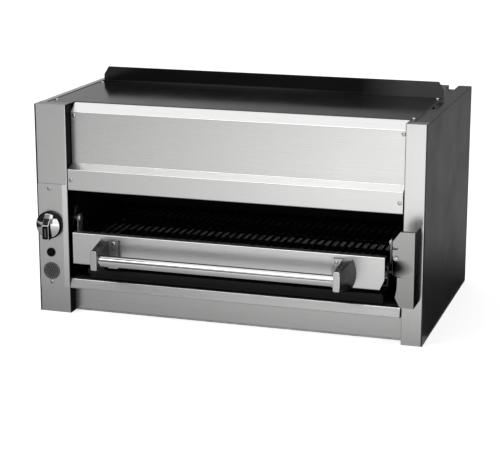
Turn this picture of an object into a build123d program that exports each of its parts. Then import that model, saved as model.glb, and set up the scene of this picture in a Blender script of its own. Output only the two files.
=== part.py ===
from build123d import *
import math
import os

# Gas salamander grill with a spring-balanced, roll-out rack. All sizes are millimetres.
# +X is right, -Y is the front, +Z is up. The origin is the centre of the base's underside.

# Casing
casing_width = 914.0
casing_depth = 550.0
casing_height = 495.0
sheet = 1.5
bend_radius = 2.5
seam = 0.3
cut_margin = 1.0
inner_bend_radius = 0.5
left_flange = 16.0
right_flange = 32.0
base_lip = 26.0

# Front frame
left_post_width = 77.0
right_post_width = 48.0
post_depth = 30.0
hood_lip_height = 296.0
hood_lip_return = 20.0
hood_band = 49.0
hood_step = 10.0
hood_recess = 27.0
hood_shoulder_drop = 20.0
hood_top_setback = 53.0
hood_top_return = 22.0
hood_end_gap = 2.0
sill_height = 83.0
sill_nose = 22.0
sill_nose_setback = 8.0
sill_undercut = 4.0
sill_return = 24.0
toe_gap = 6.0
rail_right_gap = 4.0

# Top and flue
riser_setback = 353.0
riser_height = 38.0
riser_foot = 28.0
riser_left_gap = 11.0
riser_corner_x = 12.0
riser_corner_z = 20.0
flange_notch_length = 100.0
flange_notch_depth = 14.0
flange_notch_y = -30.0
back_notch_width = 25.0
back_notch_depth = 10.0
back_notch_inset = 31.0

# Firebox liners
left_liner_gap = 4.0
right_liner_gap = 4.0
liner_foot = 18.0
liner_height = 425.0
firebox_depth = 345.0
flue_slot_margin = 25.0
flue_slot_length = 68.0
flue_slot_width = 14.0
flue_slot_pitch = 90.0
flue_slot_height = 272.0

# Burners
burner_side_gap = 25.0
burner_depth = 240.0
burner_box_height = 60.0
burner_mouth_height = 308.0
burner_gap = 10.0
burner_front_gap = 75.0
burner_lip = 6.0
burner_flange = 12.0
burner_flange_rise = 20.0
burner_rail_leg = 24.0
tile_columns = 5
tile_rows = 2
tile_thickness = 13.0
tile_gap = 0.6
mixing_tube_radius = 17.0
mixing_tube_wall = 2.0
mixing_tube_rise = 27.0
mixing_tube_bend = 24.0
mixing_tube_spacing = 80.0
mixing_tube_mouth_gap = 8.0
left_elbow_inset = 80.0
right_elbow_inset = 60.0

# Controls on the left post
control_panel_bottom = 62.0
control_panel_top = 309.0
control_panel_thickness = 2.5
control_panel_margin = 2.0
control_panel_bevel = 11.5
control_inset = 32.5
panel_hole_gap = 1.0
knob_height = 212.0
igniter_height = 145.3
vent_height = 100.7
control_window_width = 52.0
knob_radius = 32.0
knob_skirt_depth = 11.0
knob_skirt_edge = 3.0
knob_gap = 0.8
knob_cap_radius = 28.5
knob_cap_rise = 7.0
knob_cap_edge = 1.5
knob_grip_width = 16.5
knob_grip_depth = 18.0
knob_grip_toe = 31.0
knob_grip_shoulder = 4.0
knob_grip_heel = 24.0
knob_grip_edge = 1.0
stem_radius = 4.0
running_fit = 0.05
valve_radius = 14.0
valve_length = 44.0
valve_setback = 9.0
valve_outlet_radius = 10.0
valve_outlet_rise = 24.0
valve_edge = 3.0
stem_engagement = 22.0
igniter_radius = 8.5
igniter_clearance = 0.4
igniter_wall = 1.6
igniter_bezel_height = 2.5
igniter_button_height = 3.5
igniter_travel = 4.0
igniter_barrel_length = 30.0
igniter_barrel_floor = 5.0
igniter_edge = 1.4
vent_radius = 20.5
vent_thickness = 2.0
vent_hole_radius = 1.6
vent_ring_pitch = 5.0
vent_ring_count = 3
vent_first_ring = 6
vent_edge = 0.7

# Gas pipes
supply_radius = 10.7
supply_bore = 8.0
inlet_radius = 19.0
inlet_length = 25.0
inlet_bore = 12.0
inlet_bore_depth = 20.0
inlet_stand_out = 12.0
manifold_radius = 8.0
manifold_bend = 24.0
spud_radius = 6.0
spud_gap = 2.0

# Lift linkage
lift_rise = 75.0
pivot_setback = 53.0
upper_pivot_height = 218.0
lower_pivot_drop = 68.0
rear_pivot_setback = 385.0
arm_thickness = 5.0
arm_width = 24.0
arm_gap = 2.5
arm_tail = 55.0
shaft_radius = 8.0
bush_wall = 4.0
bush_inner = 4.0
pin_radius = 4.5
pin_head_radius = 8.0
pin_head_thickness = 3.0
pin_end_gap = 0.3
pin_end_thickness = 2.2
stud_radius = 5.0
open_pivot_clearance = 0.5
liner_slot_clearance = 3.0
spring_stud_length = 16.0
spring_radius = 9.0
spring_wire = 2.5
spring_eye_length = 16.0
spring_anchor_height = 70.0

# Lift carriage
carriage_side_gap = 8.0
carriage_plate = 3.0
carriage_front_inset = 13.0
carriage_length = 322.0
carriage_bottom = 128.0
carriage_height = 46.0
carriage_bottom_flange = 14.0
carriage_top_flange = 11.0
ear_radius = 12.0
tie_width = 20.0
tie_height = 12.0
tie_front_offset = 60.0
tie_rear_inset = 22.0
roller_radius = 10.0
roller_width = 8.0
roller_side_gap = 2.0
roller_height = 155.0
roller_front_offset = 17.0
roller_rear_inset = 30.0
axle_radius = 4.0
axle_head_radius = 6.5
axle_head_thickness = 1.4
roller_clearance = 0.3

# Lift handle on the right
handle_arm_plate = 4.0
handle_arm_stand_off = 20.0
handle_arm_boss_radius = 5.8
handle_arm_bottom = 176.0
handle_arm_height = 36.0
handle_arm_rear_gap = 17.0
handle_arm_bend = 35.0
handle_arm_lap = 39.0
lift_handle_sheet = 2.0
lift_handle_stand_out = 75.0
lift_handle_gap = 3.0
lift_handle_right_inset = 5.5
lift_handle_width = 48.5
lift_handle_bottom = 109.0
lift_handle_height = 167.0
lift_handle_top_corner_x = 16.0
lift_handle_top_corner_z = 22.0
lift_handle_low_corner_x = 9.0
lift_handle_low_corner_z = 22.0
lift_handle_waist = 9.0
lift_handle_notch_rise = 131.0
lift_handle_notch_length = 12.0
lift_handle_notch_width = 7.0
lift_handle_back_radius = 26.0
lift_handle_foot_radius = 10.0
lift_handle_top_lip = 10.0
lift_handle_bolt_rise = 109.0
bolt_head_radius = 5.5
bolt_head_height = 3.5

# Roll-out rack
rack_side_gap = 10.0
rack_rail_bottom = 121.0
rack_rail_height = 75.0
rack_rail_top_return = 18.0
rack_rail_bottom_return = 13.0
rack_rail_clip_x = 11.0
rack_rail_clip_z = 24.0
rack_angle = 3.0
rack_angle_leg = 12.0
rack_angle_inset = 19.0
rack_depth = 320.0
grate_rod_radius = 3.0
grate_tie_radius = 3.5
grate_edge = 4.0
grate_pitch = 17.5
grate_weld = 0.3
grate_front_inset = 19.0
grate_depth = 296.0
grate_tie_offsets = (6.0, 141.0, 276.0)
grate_over_rail = 2.0
grate_tie_overhang = 2.5

# Rack handle
bracket_inset = 95.0
bracket_stand_out = 85.0
bracket_foot_width = 23.0
bracket_foot_height = 67.0
bracket_foot_bulge = 9.0
bracket_nose_width = 15.0
bracket_nose_height = 45.0
bracket_nose_rise = 13.0
bracket_nose_bulge = 1.0
bracket_corner = 4.0
bracket_nose_edge = 1.5
bracket_flange_width = 22.0
bracket_flange_thickness = 10.0
bracket_screw_inset = 8.0
handle_bar_radius = 12.7
handle_bar_height = 154.0
handle_bar_stand_out = 67.0
handle_bar_seat = 12.0
handle_bar_wall = 2.0

# Drip tray
tray_side_gap = 45.0
tray_front_inset = 17.0
tray_depth = 316.0
tray_height = 25.0
tray_lip = 12.0
tray_lip_drop = 11.0
runner_lap = 16.0
runner_rise = 1.2
runner_leg = 26.0
runner_clearance = 0.3

# Screws and base holes
screw_radius = 4.8
screw_height = 2.6
screw_edge = 1.2
hood_screw_inset = 9.0
hood_upper_screw_height = 467.0
hood_lower_screw_height = 321.0
panel_screw_inset = 11.5
top_screw_inset = 12.0
base_hole_radius = 5.25
base_hole_side_inset = 37.0
base_hole_front_inset = 35.0
base_hole_rear_inset = 40.0

# Planes and heights that several pieces share
side_x = casing_width / 2
front_y = -casing_depth / 2
rear_y = casing_depth / 2
post_back_y = front_y + post_depth
inner_side_x = side_x - sheet - seam
left_open_x = -side_x + left_post_width
right_open_x = side_x - right_post_width
top_panel_bottom = casing_height - sheet
hood_face_y = front_y + hood_recess
hood_top_y = front_y + hood_top_setback
rail_face_y = post_back_y
riser_y = front_y + riser_setback
left_liner_x = left_open_x - left_liner_gap
right_liner_x = right_open_x - right_liner_gap
rear_liner_y = front_y + firebox_depth
flue_slot_count = int((right_liner_x - left_liner_x - 2 * flue_slot_margin) / flue_slot_pitch)
riser_foot_y = riser_y - riser_foot
control_x = -side_x + control_inset
panel_face_y = front_y - control_panel_thickness
arm_drop = lift_rise / 2
front_pivot_y = front_y + pivot_setback
rear_pivot_y = front_y + rear_pivot_setback
lower_pivot_height = upper_pivot_height - lower_pivot_drop
upper_rear_height = upper_pivot_height + arm_drop
lower_rear_height = lower_pivot_height + arm_drop
arm_span = math.hypot(rear_pivot_y - front_pivot_y, arm_drop)
arm_rest_angle = math.degrees(math.asin(arm_drop / arm_span))
left_arm_x = (left_liner_x - sheet - arm_gap - arm_thickness, left_liner_x - sheet - arm_gap)
right_arm_x = (right_liner_x + sheet + arm_gap, right_liner_x + sheet + arm_gap + arm_thickness)
tail_y = rear_pivot_y + arm_tail * math.cos(math.radians(arm_rest_angle))
tail_z = upper_rear_height + arm_tail * math.sin(math.radians(arm_rest_angle))
carriage_half_width = -left_liner_x - carriage_side_gap
carriage_front_y = front_y + carriage_front_inset
roller_top = roller_height + roller_radius
rack_half_width = -left_open_x - rack_side_gap
rack_angle_half = carriage_half_width - rack_angle_inset
rack_angle_bottom = roller_top + roller_clearance
rack_rail_top = rack_rail_bottom + rack_rail_height
grate_rod_count = 2 * int((rack_angle_half - grate_edge) / grate_pitch) + 1
grate_rod_height = rack_rail_top + grate_over_rail - grate_rod_radius
grate_tie_height = grate_rod_height - grate_rod_radius - grate_tie_radius + grate_weld
rack_angle_top = grate_tie_height - grate_tie_radius
bracket_inner_x = rack_half_width - bracket_inset
handle_bar_y = front_y - handle_bar_stand_out
handle_plate_y = front_y - lift_handle_stand_out
lift_handle_right = side_x - lift_handle_right_inset
lift_handle_left = lift_handle_right - lift_handle_width
handle_window_x = lift_handle_left + handle_arm_lap
handle_arm_x = carriage_half_width + handle_arm_stand_off
handle_arm_top = handle_arm_bottom + handle_arm_height
burner_front_y = front_y + burner_front_gap
burner_rear_y = burner_front_y + burner_depth
burner_flange_height = burner_mouth_height + burner_flange_rise
burner_top = burner_mouth_height + burner_box_height
burner_width = -left_open_x - burner_side_gap - burner_gap / 2
mixing_tube_height = burner_top + mixing_tube_rise
mixing_tube_mouth_x = left_liner_x + mixing_tube_mouth_gap
burner_middle_y = (burner_front_y + burner_rear_y) / 2
mixing_tube_ys = (burner_middle_y - mixing_tube_spacing / 2, burner_middle_y + mixing_tube_spacing / 2)
valve_front_y = front_y + valve_setback
valve_rear_y = valve_front_y + valve_length
valve_outlet_y = (valve_front_y + valve_rear_y) / 2
inlet_rear_y = rear_y + inlet_stand_out
inlet_front_y = inlet_rear_y - inlet_length
runner_height = sill_height + runner_rise
tray_bottom = runner_height + sheet + runner_clearance
tray_x = (left_open_x + tray_side_gap, right_open_x - tray_side_gap)
knob_face_y = panel_face_y - knob_gap - knob_skirt_depth


def bent_sheet(points, side, thickness=sheet, outer_radius=bend_radius):
    """Section of a folded sheet: its outer line with rounded bends, thickened to one side."""
    line = FilletPolyline(*points, radius=max(outer_radius, thickness + inner_bend_radius))
    return make_face(offset(line, amount=thickness, side=side).edges())


def outline(*points):
    return make_face(Polyline(*points, close=True).edges())


def along_x(face, x0, x1):
    return extrude(Plane.YZ.offset(x0) * face, amount=x1 - x0)


def along_y(face, y0, y1):
    return extrude(Plane.XZ.offset(-y1) * face, amount=y1 - y0)


def along_z(face, z0, z1):
    return extrude(Plane.XY.offset(z0) * face, amount=z1 - z0)


def block(x, y, z):
    """Block between a pair of limits on each axis."""
    size = Box(x[1] - x[0], y[1] - y[0], z[1] - z[0])
    return Pos(sum(x) / 2, sum(y) / 2, sum(z) / 2) * size


def rod(start, direction, radius, length):
    base = Plane(origin=start, z_dir=direction)
    return base * Cylinder(radius, length, align=(Align.CENTER, Align.CENTER, Align.MIN))


def x_rod(x0, x1, y, z, radius):
    return rod((x0, y, z), (1, 0, 0), radius, x1 - x0)


def y_rod(x, y0, y1, z, radius):
    return rod((x, y0, z), (0, 1, 0), radius, y1 - y0)


def screw(seat, direction, radius=screw_radius, height=screw_height):
    """Screw head with a broken edge, seated on a face."""
    head = Cylinder(radius, height, align=(Align.CENTER, Align.CENTER, Align.MIN))
    head = chamfer(head.edges().sort_by(Axis.Z)[-1], screw_edge)
    return Plane(origin=seat, z_dir=direction) * head


def group(solids):
    return Compound(children=list(solids))


# Outer casing


def side_panel(sign, flange):
    """Side sheet with a top flange that runs from the front post to the back panel."""
    corner = sign * side_x
    points = [(corner, 0), (corner, casing_height), (corner - sign * flange, casing_height)]
    side = Side.LEFT if sign > 0 else Side.RIGHT
    panel = along_y(bent_sheet(points, side), front_y, rear_y)
    inside = sorted((sign * (side_x - sheet), sign * (side_x - flange - cut_margin)))
    top = (casing_height - 2 * bend_radius, casing_height + cut_margin)
    panel -= block(inside, (front_y - cut_margin, post_back_y + seam), top)
    return panel - block(inside, (rear_y - sheet - seam, rear_y + cut_margin), top)


def right_side_panel():
    panel = side_panel(1, right_flange)
    finger_notch = SlotOverall(flange_notch_length, 2 * flange_notch_depth, rotation=90)
    place = Pos(side_x - right_flange, flange_notch_y)
    return panel - along_z(place * finger_notch, casing_height - 2 * sheet, casing_height + cut_margin)


def back_panel():
    panel = block((-inner_side_x, inner_side_x), (rear_y - sheet, rear_y), (0, casing_height))
    for sign in (-1, 1):
        outer = sign * (side_x - back_notch_inset)
        limits = sorted((outer, outer - sign * back_notch_width))
        top = (casing_height - back_notch_depth, casing_height + cut_margin)
        panel -= block(limits, (rear_y - 2 * sheet, rear_y + cut_margin), top)
    through = (rear_y - sheet - cut_margin, rear_y + cut_margin)
    return panel - y_rod(control_x, *through, knob_height, inlet_radius + seam)


def base_hole_places():
    x = side_x - base_hole_side_inset
    ys = (post_back_y + base_hole_front_inset, rear_y - base_hole_rear_inset)
    return [(sign * x, y) for sign in (-1, 1) for y in ys]


def base_pan():
    """Floor with upturned edges, drilled for legs or a stand."""
    limits_y = (rail_face_y + sheet, rear_y - sheet - seam)
    body = block((-inner_side_x, inner_side_x), limits_y, (0, base_lip))
    pan = offset(body, -sheet, openings=body.faces().sort_by(Axis.Z)[-1])
    for x, y in base_hole_places():
        pan -= rod((x, y, -cut_margin), (0, 0, 1), base_hole_radius, sheet + 2 * cut_margin)
    return pan


def top_panel():
    left = -side_x + left_flange + seam
    right = side_x - right_flange - seam
    front = hood_top_y + seam
    corner = post_back_y + seam
    rear = riser_y - sheet - bend_radius
    face = outline(
        (left, corner),
        (left_open_x, corner),
        (left_open_x, front),
        (right_open_x, front),
        (right_open_x, corner),
        (right, corner),
        (right, rear),
        (left, rear),
    )
    return along_z(face, top_panel_bottom, casing_height)


def top_screw_places():
    left = -side_x + left_flange + top_screw_inset
    right = side_x - right_flange - top_screw_inset
    ys = (hood_top_y + top_screw_inset, riser_y - sheet - bend_radius - top_screw_inset)
    return [(x, y, casing_height) for x in (left, right) for y in ys]


def flue_riser():
    """Upstand that turns the flue gas back, with clipped top corners."""
    foot = top_panel_bottom - sheet
    top = casing_height + riser_height
    profile = bent_sheet([(riser_foot_y, foot), (riser_y, foot), (riser_y, top)], Side.LEFT)
    left = -side_x + left_flange + riser_left_gap
    right = side_x - right_flange - seam
    riser = along_x(profile, left, right)
    for end, inward in ((left, 1), (right, -1)):
        corner = outline(
            (end + inward * riser_corner_x, top),
            (end, top - riser_corner_z),
            (end, top),
        )
        riser -= along_y(corner, riser_y - sheet - cut_margin, riser_y + cut_margin)
    return riser


# Front frame


def front_post(x0, x1):
    """Folded post, open at the back."""
    body = block((x0, x1), (front_y, post_back_y), (0, casing_height))
    body = fillet(body.edges().filter_by(Axis.Z).group_by(Axis.Y)[0], bend_radius)
    return offset(body, -sheet, openings=body.faces().sort_by(Axis.Y)[-1])


def left_post():
    half = control_window_width / 2
    window_z = (vent_height - half, knob_height + half)
    window_x = (control_x - half, control_x + half)
    window = block(window_x, (front_y - cut_margin, front_y + sheet + cut_margin), window_z)
    return front_post(-inner_side_x, left_open_x) - window


def hood_front():
    """Hood sheet: flush band, bevel back to the recessed face, then a bevel up to the top."""
    lip = hood_lip_height
    profile = bent_sheet(
        [
            (front_y + hood_lip_return, lip),
            (front_y, lip),
            (front_y, lip + hood_band),
            (hood_face_y, lip + hood_band + hood_step),
            (hood_face_y, casing_height - hood_shoulder_drop),
            (hood_top_y, top_panel_bottom),
            (hood_top_y + hood_top_return, top_panel_bottom),
        ],
        Side.RIGHT,
    )
    return along_x(profile, left_open_x + hood_end_gap, right_open_x - hood_end_gap)


def hood_screw_places():
    xs = (left_open_x + hood_screw_inset, right_open_x - hood_screw_inset)
    upper = [(x, hood_face_y, hood_upper_screw_height) for x in xs]
    lower = [(x, front_y, hood_lower_screw_height) for x in xs]
    return upper + lower


def lower_front_rail():
    """Bottom rail with a sloped nose under the opening and a recessed face."""
    nose = sill_height - sill_nose
    profile = bent_sheet(
        [
            (rail_face_y, toe_gap),
            (rail_face_y, nose - sill_undercut),
            (front_y, nose),
            (front_y + sill_nose_setback, sill_height),
            (front_y + sill_nose_setback + sill_return, sill_height),
        ],
        Side.RIGHT,
    )
    return along_x(profile, left_open_x + seam, right_open_x - rail_right_gap)


# Firebox


def liner_cuts(x0, x1):
    """Slots for the lift pins, and holes for the lift bearings and studs, through one liner."""
    slot_width = 2 * (pin_radius + liner_slot_clearance)
    slot = SlotOverall(lift_rise + slot_width, slot_width, rotation=90)
    cuts = x_rod(x0, x1, rear_pivot_y, upper_rear_height, shaft_radius + bush_wall)
    cuts += x_rod(x0, x1, rear_pivot_y, lower_rear_height, stud_radius)
    cuts += x_rod(x0, x1, tail_y, spring_anchor_height, stud_radius)
    for height in (upper_pivot_height, lower_pivot_height):
        cuts += along_x(Pos(front_pivot_y, height + lift_rise / 2) * slot, x0, x1)
    return cuts


def side_liner(x, outward, side):
    points = [(x + outward * liner_foot, sheet), (x, sheet), (x, liner_height)]
    front = rail_face_y + 2 * sheet + seam
    liner = along_y(bent_sheet(points, side), front, rear_y - 2 * sheet - 2 * seam)
    limits = sorted((x - outward * cut_margin, x + outward * (sheet + cut_margin)))
    return liner - liner_cuts(*limits)


def left_liner():
    liner = side_liner(left_liner_x, -1, Side.LEFT)
    through = (left_liner_x - sheet - cut_margin, left_liner_x + cut_margin)
    for y in mixing_tube_ys:
        liner -= x_rod(*through, y, mixing_tube_height, spud_radius + seam)
    return liner


def rear_liner():
    """Back wall of the firebox, with flue slots and a top flange under the riser's foot."""
    top = top_panel_bottom - sheet
    back = rear_liner_y + sheet
    profile = bent_sheet([(back, sheet), (back, top), (riser_foot_y, top)], Side.LEFT)
    liner = along_x(profile, left_liner_x + seam, right_liner_x - seam)
    first = -(flue_slot_count - 1) / 2 * flue_slot_pitch
    middle = (left_liner_x + right_liner_x) / 2
    for index in range(flue_slot_count):
        place = Pos(middle + first + index * flue_slot_pitch, flue_slot_height)
        slot = place * SlotOverall(flue_slot_length, flue_slot_width)
        liner -= along_y(slot, rear_liner_y - cut_margin, back + cut_margin)
    return liner


def tray_runners():
    height = runner_height
    left = left_liner_x + runner_clearance
    right = right_liner_x - runner_clearance
    left_points = [(tray_x[0] + runner_lap, height), (left, height), (left, height + runner_leg)]
    right_points = [(tray_x[1] - runner_lap, height), (right, height), (right, height + runner_leg)]
    limits = (rail_face_y + 2 * sheet + seam, rear_liner_y - seam)
    return group(
        [
            along_y(bent_sheet(left_points, Side.RIGHT), *limits),
            along_y(bent_sheet(right_points, Side.LEFT), *limits),
        ]
    )


def burner_rails():
    """Two angles across the firebox that carry the burner flanges."""
    under = burner_flange_height - sheet
    front = burner_front_y - burner_rail_leg - burner_flange / 2
    rear = rear_liner_y - seam
    front_points = [(front + burner_rail_leg, under), (front, under), (front, under + burner_rail_leg)]
    rear_end = burner_rear_y + burner_flange / 2
    rear_points = [(rear_end, under), (rear, under), (rear, under + burner_rail_leg)]
    limits = (left_liner_x + seam, right_liner_x - seam)
    return group(
        [
            along_x(bent_sheet(front_points, Side.RIGHT), *limits),
            along_x(bent_sheet(rear_points, Side.LEFT), *limits),
        ]
    )


def burner_box(x0, tube_y, elbow_x):
    """One infrared burner: an open-bottomed box with a tile lip, two flanges and its mixing tube."""
    x = (x0, x0 + burner_width)
    y = (burner_front_y, burner_rear_y)
    body = block(x, y, (burner_mouth_height, burner_top))
    shell = offset(body, -sheet, openings=body.faces().sort_by(Axis.Z)[0])
    lip = block(x, y, (burner_mouth_height - sheet, burner_mouth_height))
    mouth_x = (x[0] + burner_lip, x[1] - burner_lip)
    mouth_y = (y[0] + burner_lip, y[1] - burner_lip)
    mouth_z = (burner_mouth_height - sheet - cut_margin, burner_mouth_height + cut_margin)
    lip -= block(mouth_x, mouth_y, mouth_z)
    flange_z = (burner_flange_height, burner_flange_height + sheet)
    flange = block(x, (y[0] - burner_flange, y[1] + burner_flange), flange_z)
    flange_cut = (flange_z[0] - cut_margin, flange_z[1] + cut_margin)
    flange -= block(x, (y[0] + sheet, y[1] - sheet), flange_cut)
    path = FilletPolyline(
        (mixing_tube_mouth_x, tube_y, mixing_tube_height),
        (elbow_x, tube_y, mixing_tube_height),
        (elbow_x, tube_y, burner_top - sheet),
        radius=mixing_tube_bend,
    )
    start = Plane(origin=(mixing_tube_mouth_x, tube_y, mixing_tube_height), z_dir=(1, 0, 0))
    tube = sweep(start * Circle(mixing_tube_radius), path=path)
    bore = sweep(start * Circle(mixing_tube_radius - mixing_tube_wall), path=path)
    return (shell + lip + flange + tube) - bore


def burner_starts():
    return (-burner_width - burner_gap / 2, burner_gap / 2)


def burner_boxes():
    left, right = burner_starts()
    return group(
        [
            burner_box(left, mixing_tube_ys[0], left + left_elbow_inset),
            burner_box(right, mixing_tube_ys[1], right + right_elbow_inset),
        ]
    )


def burner_tiles():
    """Ceramic tiles that rest on the lips of the burner mouths."""
    pitch_x = (burner_width - 2 * sheet) / tile_columns
    pitch_y = (burner_depth - 2 * sheet) / tile_rows
    tile = Box(pitch_x - tile_gap, pitch_y - tile_gap, tile_thickness)
    height = burner_mouth_height + tile_thickness / 2
    tiles = []
    for start in burner_starts():
        for column in range(tile_columns):
            for row in range(tile_rows):
                x = start + sheet + (column + 0.5) * pitch_x
                y = burner_front_y + sheet + (row + 0.5) * pitch_y
                tiles.append(Pos(x, y, height) * tile)
    return group(tiles)


# Gas train


def gas_valve():
    """Brass valve: body, upward outlet and a bore for the turning stem."""
    body = y_rod(control_x, valve_front_y, valve_rear_y, knob_height, valve_radius)
    body = chamfer(body.edges().filter_by(GeomType.CIRCLE), valve_edge)
    axis = (control_x, valve_outlet_y, knob_height)
    body += rod(axis, (0, 0, 1), valve_outlet_radius, valve_outlet_rise)
    hole_end = valve_front_y + stem_engagement + seam
    return body - y_rod(control_x, valve_front_y, hole_end, knob_height, stem_radius + running_fit)


def gas_supply_pipe():
    pipe = y_rod(control_x, valve_rear_y, inlet_front_y, knob_height, supply_radius)
    return pipe - y_rod(control_x, valve_rear_y, inlet_front_y, knob_height, supply_bore)


def gas_inlet():
    """Threaded socket through the back panel for the gas line."""
    socket = y_rod(control_x, inlet_front_y, inlet_rear_y, knob_height, inlet_radius)
    bore_start = inlet_rear_y - inlet_bore_depth
    socket -= y_rod(control_x, bore_start, inlet_rear_y, knob_height, inlet_bore)
    return socket - y_rod(control_x, inlet_front_y, bore_start, knob_height, supply_bore)


def burner_manifold():
    """Pipe from the valve up to the two burner spuds."""
    bottom = knob_height + valve_outlet_rise
    path = FilletPolyline(
        (control_x, valve_outlet_y, bottom),
        (control_x, valve_outlet_y, mixing_tube_height),
        (control_x, mixing_tube_ys[1] + 2 * manifold_radius, mixing_tube_height),
        radius=manifold_bend,
    )
    start = Plane(origin=(control_x, valve_outlet_y, bottom), z_dir=(0, 0, 1))
    pipe = sweep(start * Circle(manifold_radius), path=path)
    for y in mixing_tube_ys:
        pipe += x_rod(control_x, mixing_tube_mouth_x - spud_gap, y, mixing_tube_height, spud_radius)
    return pipe


# Controls


def control_panel():
    """Raised cover plate on the left post, bevelled towards the opening."""
    left = -inner_side_x + control_panel_margin
    right = left_open_x - bend_radius / 2
    edge = front_y - seam
    face = outline(
        (left, front_y),
        (left, panel_face_y),
        (right - control_panel_bevel, panel_face_y),
        (right, edge),
        (right, front_y),
    )
    plate = along_z(face, control_panel_bottom, control_panel_top)
    holes = (
        (knob_height, stem_radius + panel_hole_gap),
        (igniter_height, igniter_radius + igniter_clearance + igniter_wall),
        (vent_height, vent_radius - vent_ring_pitch),
    )
    for height, radius in holes:
        plate -= y_rod(control_x, panel_face_y - cut_margin, front_y + cut_margin, height, radius)
    return plate


def vent_grille():
    """Round perforated vent with rings of small holes."""
    disc = Circle(vent_radius) - Circle(vent_hole_radius)
    for ring in range(1, vent_ring_count + 1):
        disc -= PolarLocations(ring * vent_ring_pitch, vent_first_ring * ring) * Circle(vent_hole_radius)
    plate = along_y(Pos(control_x, vent_height) * disc, panel_face_y - vent_thickness, panel_face_y)
    front_edges = plate.edges().group_by(Axis.Y)[0]
    return chamfer(front_edges.sort_by(SortBy.LENGTH)[-1], vent_edge)


def igniter_housing():
    """Sleeve through the control panel that guides the button."""
    inner = igniter_radius + igniter_clearance
    front = panel_face_y - igniter_bezel_height
    rear = front + igniter_barrel_length
    sleeve = y_rod(control_x, front, rear, igniter_height, inner + igniter_wall)
    return sleeve - y_rod(control_x, front, rear - igniter_barrel_floor, igniter_height, inner)


def igniter_button():
    front = panel_face_y - igniter_bezel_height - igniter_button_height
    floor = panel_face_y - igniter_bezel_height + igniter_barrel_length - igniter_barrel_floor
    rear = floor - igniter_travel - igniter_clearance
    button = y_rod(control_x, front, rear, igniter_height, igniter_radius)
    return fillet(button.edges().filter_by(GeomType.CIRCLE).sort_by(Axis.Y)[0], igniter_edge)


def knob_skirt():
    skirt = y_rod(control_x, knob_face_y, panel_face_y - knob_gap, knob_height, knob_radius)
    skirt = chamfer(skirt.edges().filter_by(GeomType.CIRCLE).sort_by(Axis.Y)[0], knob_skirt_edge)
    return skirt - y_rod(control_x, knob_face_y - cut_margin, panel_face_y, knob_height, stem_radius)


def knob_grip():
    """Domed cap with a pointer bar: full depth at its lower end, sloping back to the rim at its top."""
    rim = (knob_cap_radius, knob_cap_edge)
    crown = (0, knob_cap_edge + knob_cap_rise)
    shoulder = (knob_cap_radius * math.cos(math.pi / 4), knob_cap_edge + knob_cap_rise / 2)
    flank = ThreePointArc(rim, shoulder, crown)
    base = Polyline(crown, (0, 0), (knob_cap_radius, 0), rim)
    cap = revolve(Plane.XZ * make_face(base.edges() + flank.edges()), Axis.Z)
    axis = Plane(origin=(control_x, knob_face_y, knob_height), x_dir=(1, 0, 0), z_dir=(0, -1, 0))
    front = knob_face_y - knob_grip_depth
    side = outline(
        (knob_face_y, knob_height - knob_grip_toe),
        (front, knob_height - knob_grip_toe),
        (front, knob_height + knob_grip_shoulder),
        (knob_face_y, knob_height + knob_grip_heel),
    )
    half = knob_grip_width / 2
    bar = along_x(side, control_x - half, control_x + half)
    rounded = [edge for edge in bar.edges() if edge.center().Y < knob_face_y]
    bar = fillet(rounded, knob_grip_edge)
    return axis * cap + bar


def valve_stem():
    return y_rod(control_x, knob_face_y, valve_front_y + stem_engagement, knob_height, stem_radius)


def panel_screw_places():
    heights = (control_panel_bottom + panel_screw_inset, control_panel_top - panel_screw_inset)
    return [(control_x, panel_face_y, height) for height in heights]


# Lift linkage


def arm(x_limits, front_z, rear_z, front_hole, rear_hole, tail):
    """Flat lift arm with rounded ends, from its front pivot past its rear pivot."""
    direction = Vector(rear_pivot_y - front_pivot_y, rear_z - front_z).normalized()
    front = Vector(front_pivot_y, front_z)
    middle = front + direction * ((arm_span + tail) / 2)
    bar = SlotCenterToCenter(arm_span + tail, arm_width, rotation=arm_rest_angle)
    plate = along_x(Pos(middle.X, middle.Y) * bar, *x_limits)
    through = (x_limits[0] - cut_margin, x_limits[1] + cut_margin)
    plate -= x_rod(*through, front_pivot_y, front_z, front_hole)
    return plate - x_rod(*through, rear_pivot_y, rear_z, rear_hole)


def upper_arm(x_limits, stud_x):
    """Upper arm with a tail stud that the counterbalance spring hooks on."""
    front_hole = pin_radius + running_fit
    plate = arm(x_limits, upper_pivot_height, upper_rear_height, front_hole, shaft_radius, arm_tail)
    return plate + x_rod(*sorted(stud_x), tail_y, tail_z, stud_radius)


def lower_arm(x_limits):
    front_hole = pin_radius + open_pivot_clearance
    return arm(x_limits, lower_pivot_height, lower_rear_height, front_hole, stud_radius + running_fit, 0)


def left_upper_arm():
    return upper_arm(left_arm_x, (left_arm_x[0] - spring_stud_length, left_arm_x[0]))


def right_upper_arm():
    return upper_arm(right_arm_x, (right_arm_x[1], right_arm_x[1] + spring_stud_length))


def lift_shaft():
    return x_rod(left_arm_x[0], right_arm_x[1], rear_pivot_y, upper_rear_height, shaft_radius)


def shaft_bushes():
    limits = (
        (left_arm_x[1] + seam, left_liner_x + bush_inner),
        (right_liner_x - bush_inner, right_arm_x[0] - seam),
    )
    bushes = []
    for x0, x1 in limits:
        bush = x_rod(x0, x1, rear_pivot_y, upper_rear_height, shaft_radius + bush_wall)
        bushes.append(bush - x_rod(x0, x1, rear_pivot_y, upper_rear_height, shaft_radius + running_fit))
    return group(bushes)


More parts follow.
